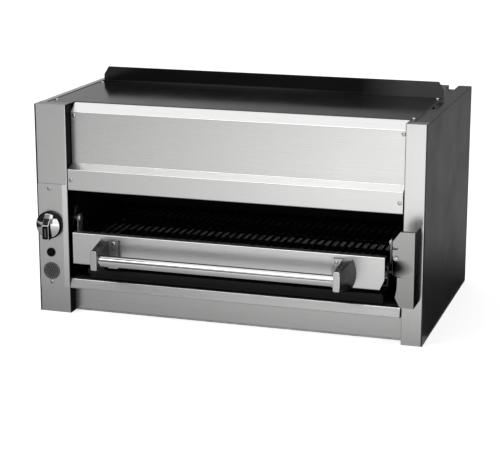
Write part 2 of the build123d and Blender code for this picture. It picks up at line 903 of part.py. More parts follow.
def stud(inner_x, end_x, y, z):
    """Shouldered stud with a head inside the liner and a collar at its outer end."""
    sign = 1 if end_x > inner_x else -1
    head_x = sorted((inner_x, inner_x - sign * pin_head_thickness))
    collar_x = sorted((end_x, end_x + sign * pin_end_thickness))
    body = x_rod(*sorted((inner_x, end_x)), y, z, stud_radius)
    body += x_rod(*head_x, y, z, pin_head_radius)
    return body + x_rod(*collar_x, y, z, pin_head_radius)


def pivot_studs():
    left_end = left_arm_x[0] - pin_end_gap
    right_end = right_arm_x[1] + pin_end_gap
    return group(
        [
            stud(left_liner_x, left_end, rear_pivot_y, lower_rear_height),
            stud(right_liner_x, right_end, rear_pivot_y, lower_rear_height),
        ]
    )


def spring_anchors():
    left_end = left_arm_x[0] - spring_stud_length
    right_end = right_arm_x[1] + spring_stud_length
    return group(
        [
            stud(left_liner_x, left_end, tail_y, spring_anchor_height),
            stud(right_liner_x, right_end, tail_y, spring_anchor_height),
        ]
    )


def counterbalance_spring(x):
    """Close-wound extension spring: its wound body and the two straight eyes."""
    top = tail_z - stud_radius - seam
    bottom = spring_anchor_height + stud_radius + seam
    coil_bottom = bottom + spring_eye_length
    coil_top = top - spring_eye_length
    wound = rod((x, tail_y, coil_bottom), (0, 0, 1), spring_radius, coil_top - coil_bottom)
    wound = fillet(wound.edges().filter_by(GeomType.CIRCLE), spring_wire)
    return wound + rod((x, tail_y, bottom), (0, 0, 1), spring_wire / 2, top - bottom)


def left_spring():
    return counterbalance_spring(left_arm_x[0] - spring_stud_length / 2 - seam)


def right_spring():
    return counterbalance_spring(right_arm_x[1] + spring_stud_length / 2 + seam)


# Lift carriage


def roller_places():
    rear = carriage_front_y + carriage_length - roller_rear_inset
    return (carriage_front_y + roller_front_offset, rear)


def right_carriage():
    """Channel that carries the rack rollers, with an ear up to the upper lift pin."""
    outer = carriage_half_width
    top = carriage_bottom + carriage_height
    profile = bent_sheet(
        [
            (outer - carriage_bottom_flange, carriage_bottom),
            (outer, carriage_bottom),
            (outer, top),
            (outer - carriage_top_flange, top),
        ],
        Side.LEFT,
        carriage_plate,
    )
    channel = along_y(profile, carriage_front_y, carriage_front_y + carriage_length)
    lower_z = lower_pivot_height
    ear_span = upper_pivot_height - lower_z
    ear_face = SlotCenterToCenter(ear_span, 2 * ear_radius, rotation=90)
    web = (outer - carriage_plate, outer)
    channel += along_x(Pos(front_pivot_y, lower_z + ear_span / 2) * ear_face, *web)
    through = (outer - carriage_plate - cut_margin, outer + cut_margin)
    for height in (upper_pivot_height, lower_z):
        channel -= x_rod(*through, front_pivot_y, height, pin_radius)
    for y in roller_places():
        channel -= x_rod(*through, y, roller_height, axle_radius)
    return channel


def left_carriage():
    return mirror(right_carriage(), about=Plane.YZ)


def carriage_ties():
    inner = carriage_half_width - carriage_plate - 2 * seam
    bottom = carriage_bottom + carriage_plate
    ties = []
    for offset_y in (tie_front_offset, carriage_length - tie_rear_inset):
        start = carriage_front_y + offset_y - tie_width / 2
        ties.append(block((-inner, inner), (start, start + tie_width), (bottom, bottom + tie_height)))
    return group(ties)


def carriage_pin(web_x, arm_x, z):
    """Pivot pin with a head inside the channel and a collar outside its arm."""
    sign = 1 if arm_x > web_x else -1
    end = arm_x + sign * pin_end_gap
    head = sorted((web_x, web_x - sign * pin_head_thickness))
    collar = sorted((end, end + sign * pin_end_thickness))
    pin = x_rod(*sorted((web_x, end)), front_pivot_y, z, pin_radius)
    pin += x_rod(*head, front_pivot_y, z, pin_head_radius)
    return pin + x_rod(*collar, front_pivot_y, z, pin_head_radius)


def carriage_pins():
    inner = carriage_half_width - carriage_plate
    pins = []
    for height in (upper_pivot_height, lower_pivot_height):
        pins.append(carriage_pin(-inner, left_arm_x[0], height))
        pins.append(carriage_pin(inner, right_arm_x[1], height))
    return group(pins)


def roller_limits():
    outer = carriage_half_width - carriage_plate - roller_side_gap
    return (outer - roller_width, outer)


def roller(sign, y):
    limits = sorted(sign * x for x in roller_limits())
    wheel = x_rod(*limits, y, roller_height, roller_radius)
    wheel = chamfer(wheel.edges().filter_by(GeomType.CIRCLE), roller_side_gap / 2)
    return wheel - x_rod(*limits, y, roller_height, axle_radius + running_fit)


def roller_axles():
    inner, outer = roller_limits()
    axles = []
    for sign in (-1, 1):
        for y in roller_places():
            shank = sorted((sign * carriage_half_width, sign * (inner - seam)))
            head = sorted((sign * (inner - seam), sign * (inner - seam - axle_head_thickness)))
            collar = sorted((sign * (outer + seam), sign * (outer + roller_side_gap)))
            axle = x_rod(*shank, y, roller_height, axle_radius)
            axle += x_rod(*head, y, roller_height, axle_head_radius)
            axles.append(axle + x_rod(*collar, y, roller_height, axle_head_radius))
    return group(axles)


# Lift handle


def arm_bolt_heights():
    inset = bolt_head_radius + 2 * seam
    return (handle_arm_bottom + inset, handle_arm_top - inset)


def handle_arm():
    """Plate that curves out of the lift handle's face and runs back to bosses on the right ear."""
    points = [
        (handle_arm_x, front_pivot_y + handle_arm_rear_gap),
        (handle_arm_x, handle_plate_y),
        (handle_window_x, handle_plate_y),
    ]
    profile = bent_sheet(points, Side.LEFT, handle_arm_plate, handle_arm_bend)
    arm_plate = along_z(profile, handle_arm_bottom, handle_arm_top)
    for height in arm_bolt_heights():
        arm_plate += x_rod(
            carriage_half_width, handle_arm_x, front_pivot_y, height, handle_arm_boss_radius
        )
    return arm_plate


def lift_handle():
    """Formed sheet grip: notched front face round the arm, right cheek and a top lip."""
    left, right = lift_handle_left, lift_handle_right
    bottom = lift_handle_bottom
    top = bottom + lift_handle_height
    low_z = bottom + lift_handle_low_corner_z
    high_z = top - lift_handle_top_corner_z
    hip = left + lift_handle_low_corner_x
    waist_low = (hip - lift_handle_sheet, low_z)
    waist_high = (left + lift_handle_sheet, bottom + lift_handle_bolt_rise)
    waist = (left + lift_handle_waist + lift_handle_sheet, (waist_low[1] + waist_high[1]) / 2)
    edge = Polyline(
        waist_high,
        (left, waist_high[1] + lift_handle_notch_width),
        (left, high_z),
        (left + lift_handle_top_corner_x, top),
        (right, top),
        (right, bottom),
        (hip + lift_handle_low_corner_x, bottom),
        waist_low,
    )
    face = make_face(edge.edges() + ThreePointArc(waist_low, waist, waist_high).edges())
    notch = SlotOverall(2 * lift_handle_notch_length, lift_handle_notch_width)
    face -= Pos(left, bottom + lift_handle_notch_rise) * notch
    front = (handle_plate_y, handle_plate_y + lift_handle_sheet)
    handle = along_y(face, *front)
    window_x = (left - cut_margin, handle_window_x)
    window_y = (handle_plate_y - cut_margin, front[1] + cut_margin)
    handle -= block(window_x, window_y, (handle_arm_bottom - seam, handle_arm_top + seam))
    cheek_y = (handle_plate_y, front_y - lift_handle_gap)
    cheek = block((right - lift_handle_sheet, right), cheek_y, (bottom, top))
    top_back = cheek.edges().filter_by(Axis.X).group_by(Axis.Z)[-1].sort_by(Axis.Y)[-1]
    cheek = fillet(top_back, lift_handle_back_radius)
    low_back = cheek.edges().filter_by(Axis.X).group_by(Axis.Z)[0].sort_by(Axis.Y)[-1]
    cheek = fillet(low_back, lift_handle_foot_radius)
    lip_y = (handle_plate_y, handle_plate_y + lift_handle_top_lip)
    lip = block((left + lift_handle_top_corner_x, right), lip_y, (top - lift_handle_sheet, top))
    handle = handle + cheek + lip
    corner = handle.edges().filter_by(Axis.Z).filter_by_position(Axis.X, right - seam, right + seam)
    return fillet(corner.sort_by(Axis.Y)[0], bend_radius)


def lift_handle_bolts():
    """Bolt through the grip's left edge, and two that hold the arm to the ear."""
    face_x = lift_handle_left + bolt_head_radius + lift_handle_sheet
    face_bolt = (face_x, handle_plate_y, lift_handle_bottom + lift_handle_bolt_rise)
    bolts = [screw(face_bolt, (0, -1, 0), bolt_head_radius, bolt_head_height)]
    for height in arm_bolt_heights():
        seat = (handle_arm_x + handle_arm_plate, front_pivot_y, height)
        bolts.append(screw(seat, (1, 0, 0), bolt_head_radius, bolt_head_height))
    return group(bolts)


# Roll-out rack


def rack_front_rail():
    """Folded front rail of the rack, with its lower right corner clipped."""
    bottom = rack_rail_bottom
    profile = bent_sheet(
        [
            (front_y + rack_rail_bottom_return, bottom),
            (front_y, bottom),
            (front_y, rack_rail_top),
            (front_y + rack_rail_top_return, rack_rail_top),
        ],
        Side.RIGHT,
    )
    rail = along_x(profile, -rack_half_width, rack_half_width)
    clip = outline(
        (rack_half_width - rack_rail_clip_x, bottom),
        (rack_half_width, bottom),
        (rack_half_width, bottom + rack_rail_clip_z),
    )
    return rail - along_y(clip, front_y - cut_margin, front_y + rack_rail_bottom_return + cut_margin)


def rack_frame():
    """Two angles that run on the rollers, joined by a rear bar."""
    front = front_y + sheet
    rear = front + rack_depth
    points = [
        (rack_angle_half + rack_angle_leg, rack_angle_bottom),
        (rack_angle_half, rack_angle_bottom),
        (rack_angle_half, rack_angle_top),
    ]
    right = along_y(bent_sheet(points, Side.RIGHT, rack_angle), front, rear)
    left = mirror(right, about=Plane.YZ)
    reach = rack_angle_half + rack_angle / 2
    bar_z = (rack_angle_bottom + rack_angle, rack_angle_top)
    return right + left + block((-reach, reach), (rear - rack_angle, rear), bar_z)


def wire_grate():
    """Welded grate: rods from front to back over three ties."""
    front = front_y + grate_front_inset
    reach = rack_angle_half + grate_tie_overhang
    first = -(grate_rod_count - 1) / 2 * grate_pitch
    rods = []
    for index in range(grate_rod_count):
        x = first + index * grate_pitch
        rods.append(y_rod(x, front, front + grate_depth, grate_rod_height, grate_rod_radius))
    ties = [x_rod(-reach, reach, front + y, grate_tie_height, grate_tie_radius) for y in grate_tie_offsets]
    return ties[0].fuse(*ties[1:], *rods)


def bracket_section(y, bottom, width, height, bulge):
    """Section of a bracket at one depth: three straight edges and a bulged outer one."""
    inner = bracket_inner_x
    outer = inner + width
    top = bottom + height
    straight = Polyline((outer, top), (inner, top), (inner, bottom), (outer, bottom))
    bulged = ThreePointArc((outer, bottom), (outer + bulge, bottom + height / 2), (outer, top))
    return Plane.XZ.offset(-y) * make_face(straight.edges() + bulged.edges())


def right_bracket():
    """Cast bracket: an arm that narrows from its foot to its nose, a bar socket and a screw flange."""
    nose_y = front_y - bracket_stand_out
    nose_bottom = rack_rail_bottom + bracket_nose_rise
    foot = bracket_section(
        front_y, rack_rail_bottom, bracket_foot_width, bracket_foot_height, bracket_foot_bulge
    )
    nose = bracket_section(
        nose_y, nose_bottom, bracket_nose_width, bracket_nose_height, bracket_nose_bulge
    )
    body = loft([foot, nose], ruled=True)
    lengthwise = [edge for edge in body.edges() if edge.bounding_box().size.Y > bracket_stand_out / 2]
    body = fillet(lengthwise, bracket_corner)
    body = fillet(body.faces().sort_by(Axis.Y)[0].edges(), bracket_nose_edge)
    flange_x = (bracket_inner_x - bracket_flange_width, bracket_inner_x + bracket_corner)
    flange_y = (front_y - bracket_flange_thickness, front_y)
    flange_z = (rack_rail_bottom, rack_rail_bottom + bracket_foot_height)
    flange = block(flange_x, flange_y, flange_z)
    flange = fillet(flange.edges().filter_by(Axis.Y).group_by(Axis.X)[0], bracket_corner)
    body += flange
    socket_end = bracket_inner_x + handle_bar_seat
    return body - x_rod(
        bracket_inner_x - cut_margin, socket_end, handle_bar_y, handle_bar_height, handle_bar_radius
    )


def handle_brackets():
    right = right_bracket()
    return group([mirror(right, about=Plane.YZ), right])


def handle_bar():
    end = bracket_inner_x + handle_bar_seat
    bar = x_rod(-end, end, handle_bar_y, handle_bar_height, handle_bar_radius)
    return bar - x_rod(-end, end, handle_bar_y, handle_bar_height, handle_bar_radius - handle_bar_wall)


def handle_screws():
    x = bracket_inner_x - bracket_flange_width / 2
    seat_y = front_y - bracket_flange_thickness
    low = rack_rail_bottom + bracket_screw_inset
    high = rack_rail_bottom + bracket_foot_height - bracket_screw_inset
    return group(screw((sign * x, seat_y, z), (0, -1, 0)) for sign in (-1, 1) for z in (low, high))


# Drip tray


def drip_tray():
    """Full-width pan with a turned-down pull along its front."""
    front = front_y + tray_front_inset
    top = tray_bottom + tray_height
    body = block(tray_x, (front, front + tray_depth), (tray_bottom, top))
    pan = offset(body, -sheet, openings=body.faces().sort_by(Axis.Z)[-1])
    profile = bent_sheet(
        [(front - tray_lip, top - tray_lip_drop), (front - tray_lip, top), (front + sheet, top)],
        Side.RIGHT,
    )
    return pan + along_x(profile, *tray_x)


def screws(places, direction):
    return group(screw(place, direction) for place in places)


front_roller_y, rear_roller_y = roller_places()

nodes = {
    "left_side_panel": side_panel(-1, left_flange),
    "right_side_panel": right_side_panel(),
    "back_panel": back_panel(),
    "base_pan": base_pan(),
    "top_panel": top_panel(),
    "flue_riser": flue_riser(),
    "hood_front": hood_front(),
    "left_post": left_post(),
    "right_post": front_post(right_open_x, inner_side_x),
    "lower_front_rail": lower_front_rail(),
    "left_liner": left_liner(),
    "right_liner": side_liner(right_liner_x, 1, Side.RIGHT),
    "rear_liner": rear_liner(),
    "tray_runners": tray_runners(),
    "burner_rails": burner_rails(),
    "burner_boxes": burner_boxes(),
    "burner_tiles": burner_tiles(),
    "gas_valve": gas_valve(),
    "gas_supply_pipe": gas_supply_pipe(),
    "gas_inlet": gas_inlet(),
    "burner_manifold": burner_manifold(),
    "control_panel": control_panel(),
    "vent_grille": vent_grille(),
    "igniter_housing": igniter_housing(),
    "igniter_button": igniter_button(),
    "knob_skirt": knob_skirt(),
    "knob_grip": knob_grip(),
    "valve_stem": valve_stem(),
    "panel_screws": screws(panel_screw_places(), (0, -1, 0)),
    "hood_screws": screws(hood_screw_places(), (0, -1, 0)),
    "top_screws": screws(top_screw_places(), (0, 0, 1)),
    "left_upper_arm": left_upper_arm(),
    "right_upper_arm": right_upper_arm(),
    "lift_shaft": lift_shaft(),
    "shaft_bushes": shaft_bushes(),
    "left_lower_arm": lower_arm(left_arm_x),
    "right_lower_arm": lower_arm(right_arm_x),
    "pivot_studs": pivot_studs(),
    "spring_anchors": spring_anchors(),
    "left_spring": left_spring(),
    "right_spring": right_spring(),
    "left_carriage": left_carriage(),
    "right_carriage": right_carriage(),
    "carriage_ties": carriage_ties(),
    "carriage_pins": carriage_pins(),
    "roller_axles": roller_axles(),
    "front_left_roller": roller(-1, front_roller_y),
    "front_right_roller": roller(1, front_roller_y),
    "rear_left_roller": roller(-1, rear_roller_y),
    "rear_right_roller": roller(1, rear_roller_y),
    "handle_arm": handle_arm(),
    "lift_handle": lift_handle(),
    "lift_handle_bolts": lift_handle_bolts(),
    "rack_front_rail": rack_front_rail(),
    "rack_frame": rack_frame(),
    "wire_grate": wire_grate(),
    "handle_brackets": handle_brackets(),
    "handle_bar": handle_bar(),
    "handle_screws": handle_screws(),
    "drip_tray": drip_tray(),
}

os.makedirs("parts", exist_ok=True)
for name, shape in nodes.items():
    export_step(shape, f"parts/{name}.step")
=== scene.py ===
# %% [markdown]
# # A salamander grill, dressed for its photograph
# The solids of the grill are already exact, so this lesson doesn't model it again. It loads them as a
# fixed frame, sets a camera and lights, gives each solid a finish made of shader nodes, and adds the
# small pieces that the solids leave plain. Everything is in metres, +Z is up and the front faces -Y.

# %% Load the frame
import math

import bmesh
import bpy
from mathutils import Matrix, Vector


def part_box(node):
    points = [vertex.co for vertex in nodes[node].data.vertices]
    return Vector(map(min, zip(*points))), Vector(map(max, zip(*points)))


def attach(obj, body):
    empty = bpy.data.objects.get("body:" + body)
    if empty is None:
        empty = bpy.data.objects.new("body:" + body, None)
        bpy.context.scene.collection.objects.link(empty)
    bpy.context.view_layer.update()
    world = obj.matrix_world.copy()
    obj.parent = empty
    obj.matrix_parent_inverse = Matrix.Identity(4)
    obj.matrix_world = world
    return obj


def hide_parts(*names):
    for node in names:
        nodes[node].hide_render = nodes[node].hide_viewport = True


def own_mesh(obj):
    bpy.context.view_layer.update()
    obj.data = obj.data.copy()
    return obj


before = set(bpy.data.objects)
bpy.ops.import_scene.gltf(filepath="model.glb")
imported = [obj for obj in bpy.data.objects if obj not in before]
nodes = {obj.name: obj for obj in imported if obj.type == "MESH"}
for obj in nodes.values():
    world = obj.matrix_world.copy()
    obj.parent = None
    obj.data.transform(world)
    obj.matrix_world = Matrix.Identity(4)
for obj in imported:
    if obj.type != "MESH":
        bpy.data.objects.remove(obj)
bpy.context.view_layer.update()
scene = bpy.context.scene
scene.view_settings.view_transform = "Standard"
quarter_turn = math.pi / 2
full_turn = 2.0 * math.pi
along_x = (1.0, 0.0, 0.0)
along_y = (0.0, 1.0, 0.0)
along_z = (0.0, 0.0, 1.0)


def middle(low, high):
    """Centre of a box."""
    return [(a + b) / 2 for a, b in zip(low, high)]


# %% [markdown]
# ## Camera
# A product photograph is taken with a long lens from a few metres away, so that parallel edges stay
# nearly parallel. The place and the angles here come from fitting the corners of the casing. A camera
# looks along its own -Z, and to_track_quat turns that axis to any direction.

# %% Camera
camera_place = Vector((1.070, -3.467, 1.090))
camera_yaw = math.radians(17.53)
camera_pitch = math.radians(14.12)
camera_lens = 111.4
camera_sensor = 36.0

camera_data = bpy.data.cameras.new("camera")
camera_data.lens = camera_lens
camera_data.sensor_width = camera_sensor
camera = bpy.data.objects.new("camera", camera_data)
scene.collection.objects.link(camera)
camera.location = camera_place
camera.rotation_mode = "QUATERNION"
forward = Vector((
    -math.sin(camera_yaw) * math.cos(camera_pitch),
    math.cos(camera_yaw) * math.cos(camera_pitch),
    -math.sin(camera_pitch),
))
camera.rotation_quaternion = forward.to_track_quat("-Z", "Y")
scene.camera = camera
print("camera at", [round(v, 2) for v in camera_place])

# %% [markdown]
# ## Node helpers
# Every finish below is a small graph that ends in one Principled BSDF. These helpers keep the graphs
# short: they add a node and set its inputs, stretch the object's own coordinates, turn a grey texture
# into a range of values, and change a colour by the way a face looks or by its place, which is how the
# painted light and painted shade below are laid on. Object coordinates are in metres, so a pattern's
# scale is real.

# %% Node helpers
real_size = (1.0, 1.0, 1.0)
turned_range = (0.48, 0.7)
patch_core = 0.45


def feed(tree, socket, value):
    """Links a socket to another one, or sets its value."""
    if isinstance(value, bpy.types.NodeSocket):
        tree.links.new(value, socket)
    else:
        socket.default_value = value


def set_inputs(tree, node, **inputs):
    """Sets or links a node's inputs by name."""
    for name, value in inputs.items():
        feed(tree, node.inputs[name.replace("_", " ")], value)


def add_node(tree, kind, **inputs):
    """New node with its inputs set or linked."""
    node = tree.nodes.new(kind)
    set_inputs(tree, node, **inputs)
    return node


def calculate(tree, operation, *values):
    """Math node with its inputs in order."""
    node = tree.nodes.new("ShaderNodeMath")
    node.operation = operation
    for socket, value in zip(node.inputs, values):
        feed(tree, socket, value)
    return node.outputs["Value"]


def start_finish(name):
    """New material, its nodes and its Principled BSDF."""
    material = bpy.data.materials.new(name)
    material.use_nodes = True
    tree = material.node_tree
    return material, tree, tree.nodes["Principled BSDF"]


def stretched(tree, scale, shift=(0.0, 0.0, 0.0)):
    """Object coordinates, scaled on each axis, so that a noise becomes grain or streaks."""
    place = add_node(tree, "ShaderNodeTexCoord")
    mapping = add_node(
        tree, "ShaderNodeMapping", Vector=place.outputs["Object"], Location=shift, Scale=scale
    )
    return mapping.outputs["Vector"]


def one_axis(tree, output, axis):
    """One axis of the object's own coordinates or normals."""
    place = add_node(tree, "ShaderNodeTexCoord")
    split = add_node(tree, "ShaderNodeSeparateXYZ", Vector=place.outputs[output])
    return split.outputs[axis]


def noise(tree, vector, scale, detail=4.0, roughness=0.55):
    """Grey noise over scaled coordinates."""
    node = add_node(
        tree, "ShaderNodeTexNoise", Vector=vector, Scale=scale, Detail=detail, Roughness=roughness
    )
    return node.outputs["Fac"]


def spread(tree, value, low, high, start=0.3, end=0.7):
    """Moves a grey value from start..end to low..high."""
    node = add_node(
        tree, "ShaderNodeMapRange", Value=value, From_Min=start, From_Max=end, To_Min=low, To_Max=high
    )
    return node.outputs["Result"]


def colour_mix(tree, fac, first, second, blend="MIX"):
    """Mix of two colours, each of them a link or an RGBA value."""
    node = tree.nodes.new("ShaderNodeMix")
    node.data_type = "RGBA"
    node.blend_type = blend
    set_inputs(tree, node, Factor=fac, A=first, B=second)
    return node.outputs["Result"]


def shade_between(tree, fac, dark, light):
    """Colour between a dark and a light one."""
    return colour_mix(tree, fac, (*dark, 1.0), (*light, 1.0))


def toned(tree, colour, share):
    """A colour times a grey share, which can be above 1."""
    return colour_mix(tree, 1.0, colour, share, "MULTIPLY")


def towards(tree, axis, low, high):
    """Goes from low to high as a face turns to look along an axis."""
    return spread(tree, one_axis(tree, "Normal", axis), low, high, *turned_range)


def soft_patch(tree, centre, reach, share):
    """Grey share round a place, which is whole in its core and goes to 1 at its reach on each axis."""
    scale = [1.0 / r for r in reach]
    shift = [-c * s for c, s in zip(centre, scale)]
    length = tree.nodes.new("ShaderNodeVectorMath")
    length.operation = "LENGTH"
    tree.links.new(stretched(tree, scale, shift), length.inputs[0])
    return spread(tree, length.outputs["Value"], share, 1.0, patch_core, 1.0)


def bump(tree, shader, height, strength, distance):
    """Gives a shader a relief, whose distance is in metres."""
    node = add_node(tree, "ShaderNodeBump", Height=height, Strength=strength, Distance=distance)
    tree.links.new(node.outputs["Normal"], shader.inputs["Normal"])


# %% [markdown]
# ## Metals
# Brushed stainless steel has long fine scratches in one direction. Noise that is stretched 240 times
# along the grain gives them: it varies the colour a little, the roughness more, and lifts a very
# low bump. A second, broad noise adds the faint clouding of wiped steel.
#
# Metal turns white where it is seen at a low angle, and on this grill those faces look dark. A grey
# edge tint holds the white back, and the faces that look to +X are dimmed as painted shade, for the
# dark that they mirror. The lever and the right carriage have a soft patch of painted shade each, where
# the post beside them keeps the light off. The lever's back is brightened as a painted reflection,
# because the post behind mirrors that side.

# %% Metals
edge_tint = (0.4, 0.4, 0.4, 1.0)
full_edge = (1.0, 1.0, 1.0, 1.0)
across_grain = 2200.0
along_grain = 9.0
wipe_scale = 5.0
wipe_share = 0.35
streak_range = (0.45, 0.9)
streak_dark = 0.93
speck_dark = 0.8
scratch_strength = 0.12
metal_relief = 0.0002


def brushed_steel(
    name, colour, grain, rough=(0.24, 0.38), painted_side_shade=1.0, patch=None, painted_back_light=1.0
):
    """Stainless sheet with its scratches along one axis, and at most one dark patch.

    The patch is painted shade. The side share dims the faces that look to +X as painted shade, and
    the back share brightens those that look to +Y as a painted reflection.
    """
    material, tree, shader = start_finish(name)
    scale = [across_grain] * 3
    scale["xyz".index(grain)] = along_grain
    scratches = noise(tree, stretched(tree, scale), 1.0, detail=5.0)
    wipes = noise(tree, stretched(tree, real_size), wipe_scale, detail=3.0)
    both = calculate(tree, "MULTIPLY_ADD", wipes, wipe_share, scratches)
    dark = [c * streak_dark for c in colour]
    streaks = shade_between(tree, spread(tree, both, 0.0, 1.0, *streak_range), dark, colour)
    # Painted shade: the faces that look to +X are dimmed for the dark that they mirror.
    streaks = toned(tree, streaks, towards(tree, "X", 1.0, painted_side_shade))
    # The patch is a painted shadow round one place.
    if patch:
        streaks = toned(tree, streaks, soft_patch(tree, *patch))
    # Painted reflection: the faces that look to +Y are brightened, for the bright post that they mirror.
    streaks = toned(tree, streaks, towards(tree, "Y", 1.0, painted_back_light))
    gloss = spread(tree, both, *rough, *streak_range)
    bump(tree, shader, scratches, scratch_strength, metal_relief)
    set_inputs(
        tree, shader, Base_Color=streaks, Roughness=gloss, Metallic=1.0, Specular_Tint=edge_tint
    )
    return material


def plain_metal(
    name, colour, rough, grains, strength, painted_side_shade=1.0, tint=edge_tint, patch=None
):
    """Plated, cast or polished metal: even grain, faint darker specks, and at most one dark patch."""
    material, tree, shader = start_finish(name)
    grain = noise(tree, stretched(tree, real_size), grains)
    dark = [c * speck_dark for c in colour]
    specks = shade_between(tree, grain, dark, colour)
    # Painted shade: the faces that look to +X are dimmed, and the patch below is a painted shadow.
    specks = toned(tree, specks, towards(tree, "X", 1.0, painted_side_shade))
    if patch:
        specks = toned(tree, specks, soft_patch(tree, *patch))
    gloss = spread(tree, grain, *rough)
    bump(tree, shader, grain, strength, metal_relief)
    set_inputs(tree, shader, Base_Color=specks, Roughness=gloss, Metallic=1.0, Specular_Tint=tint)
    return material


def galvanised_sheet(name, dark, light, rough, spangles, dents, strength, relief):
    """Zinc coat with its angular spangle, from cells of a Voronoi texture."""
    material, tree, shader = start_finish(name)
    vector = stretched(tree, real_size)
    cells = add_node(tree, "ShaderNodeTexVoronoi", Vector=vector, Scale=spangles)
    grey = add_node(tree, "ShaderNodeRGBToBW", Color=cells.outputs["Color"]).outputs["Val"]
    tone = shade_between(tree, grey, dark, light)
    gloss = spread(tree, grey, *rough, 0.0, 1.0)
    bump(tree, shader, noise(tree, vector, dents), strength, relief)
    set_inputs(tree, shader, Base_Color=tone, Roughness=gloss, Metallic=1.0)
    return material


# Painted shade on the faces of the hood and the posts that look to +X.
hood_steel = brushed_steel("hood_steel", (0.66, 0.66, 0.655), "x", painted_side_shade=0.2)
post_steel = brushed_steel("post_steel", (0.62, 0.62, 0.615), "z", painted_side_shade=0.05)

# Painted shade round the root of the handle arm on the lever, which the post keeps the light off.
lever_shade_left = 0.014
lever_shade_up = 0.003
lever_shade_reach = (0.055, 0.2, 0.024)
lever_shade_share = 0.05
arm_low, arm_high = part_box("handle_arm")
arm_middle = middle(arm_low, arm_high)
lever_shade_place = (arm_middle[0] - lever_shade_left, arm_low[1], arm_middle[2] + lever_shade_up)
lever_steel = brushed_steel(
    "lever_steel", (0.31, 0.31, 0.305), "z", rough=(0.18, 0.28), painted_side_shade=0.05,
    patch=(lever_shade_place, lever_shade_reach, lever_shade_share), painted_back_light=2.9,
)

# The faces of the handle brackets that look to +X get painted shade.
cast_steel = plain_metal(
    "cast_steel", (0.56, 0.56, 0.555), rough=(0.24, 0.36), grains=260.0, strength=0.08, painted_side_shade=0.3
)
screw_steel = plain_metal(
    "screw_steel", (0.5, 0.5, 0.505), rough=(0.14, 0.24), grains=300.0, strength=0.05
)
# The right cheek of the knob's pointer gets painted shade, for the dark that it mirrors.
knob_chrome = plain_metal(
    "knob_chrome", (0.76, 0.76, 0.77), rough=(0.05, 0.1), grains=40.0, strength=0.01, painted_side_shade=0.04
)
bar_chrome = plain_metal(
    "bar_chrome", (0.66, 0.66, 0.67), rough=(0.06, 0.12), grains=40.0, strength=0.01, tint=full_edge
)
grate_steel = plain_metal(
    "grate_steel", (0.05, 0.05, 0.05), rough=(0.24, 0.4), grains=90.0, strength=0.06
)
zinc_plate = plain_metal(
    "zinc_plate", (0.56, 0.56, 0.57), rough=(0.26, 0.4), grains=180.0, strength=0.06
)

# Painted shade: the right carriage is a darker copy of the zinc, with a painted shadow at its channel
# end.
channel_shade_shift = (0.008, 0.0, 0.018)
channel_shade_reach = (0.05, 0.15, 0.045)
channel_shade_share = 0.12
channel_end = Vector(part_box("right_carriage")[0]) + Vector(channel_shade_shift)
right_zinc_painted_shade = plain_metal(
    "right_zinc_painted_shade", (0.3, 0.3, 0.305), rough=(0.3, 0.45), grains=180.0, strength=0.06,
    patch=(channel_end, channel_shade_reach, channel_shade_share),
)
# Painted light: the left carriage and its arm are a lighter copy of the zinc.
left_zinc_painted_light = plain_metal(
    "left_zinc_painted_light", (0.85, 0.85, 0.855), rough=(0.3, 0.45), grains=180.0, strength=0.06
)
pin_steel = plain_metal(
    "pin_steel", (0.75, 0.75, 0.755), rough=(0.3, 0.42), grains=220.0, strength=0.05
)
spring_wire = plain_metal(
    "spring_wire", (0.32, 0.32, 0.33), rough=(0.25, 0.4), grains=300.0, strength=0.05
)
valve_brass = plain_metal(
    "valve_brass", (0.72, 0.53, 0.24), rough=(0.25, 0.38), grains=150.0, strength=0.06
)
bush_bronze = plain_metal(
    "bush_bronze", (0.58, 0.4, 0.2), rough=(0.3, 0.45), grains=200.0, strength=0.08
)
galvanised = galvanised_sheet(
    "galvanised", dark=(0.36, 0.37, 0.38), light=(0.55, 0.56, 0.57), rough=(0.32, 0.5),
    spangles=110.0, dents=60.0, strength=0.05, relief=0.0003,
)
print("metals ready")

# %% [markdown]
# ## Paint, enamel, plastic and tile
# Paint on sheet metal has orange peel: a soft low bump a millimetre or two across, which breaks up
# reflections. Enamel in the firebox is duller and specked with heat marks. The tiles of an infrared
# burner are pale ceramic with rows of fine holes, which a Voronoi texture on a fixed grid gives.
#
# Some places get painted light. The left panel's flange and its other faces that look up are lightened,
# the top panel has a dull band along each end, and the riser has a painted highlight along its foot and
# painted light at its right end.

# %% Paint, enamel, plastic and tile
cloud_scale = 7.0
paint_relief = 0.0004


def dull_band(tree, gloss, start, end):
    """Roughness that is full at one place on the X axis and falls to the sheet's own at another."""
    fade = spread(tree, one_axis(tree, "Object", "X"), 1.0, 0.0, start, end)
    return calculate(tree, "MAXIMUM", gloss, fade)


def painted(
    name, colour, rough, peel, strength, mottle=0.75, shine=0.5, painted_top_light=None, seams=(), painted_highlights=()
):
    """Paint or moulded plastic with orange peel and a slight change of tone.

    A painted top light goes on the faces that look up, a seam is a dull band along a sheet's edge,
    and each painted highlight brightens the tone round a place.
    """
    material, tree, shader = start_finish(name)
    vector = stretched(tree, real_size)
    clouds = noise(tree, vector, cloud_scale, detail=6.0)
    dark = [c * mottle for c in colour]
    tone = shade_between(tree, clouds, dark, colour)
    # Painted light on the faces that look up.
    if painted_top_light:
        tone = colour_mix(tree, towards(tree, "Z", 0.0, 1.0), tone, (*painted_top_light, 1.0))
    # Each patch here is a painted highlight.
    for patch in painted_highlights:
        tone = toned(tree, tone, soft_patch(tree, *patch))
    gloss = spread(tree, clouds, *rough)
    for seam in seams:
        gloss = dull_band(tree, gloss, *seam)
    bump(tree, shader, noise(tree, vector, peel, detail=1.0), strength, paint_relief)
    set_inputs(tree, shader, Base_Color=tone, Roughness=gloss, Specular_IOR_Level=shine)
    return material


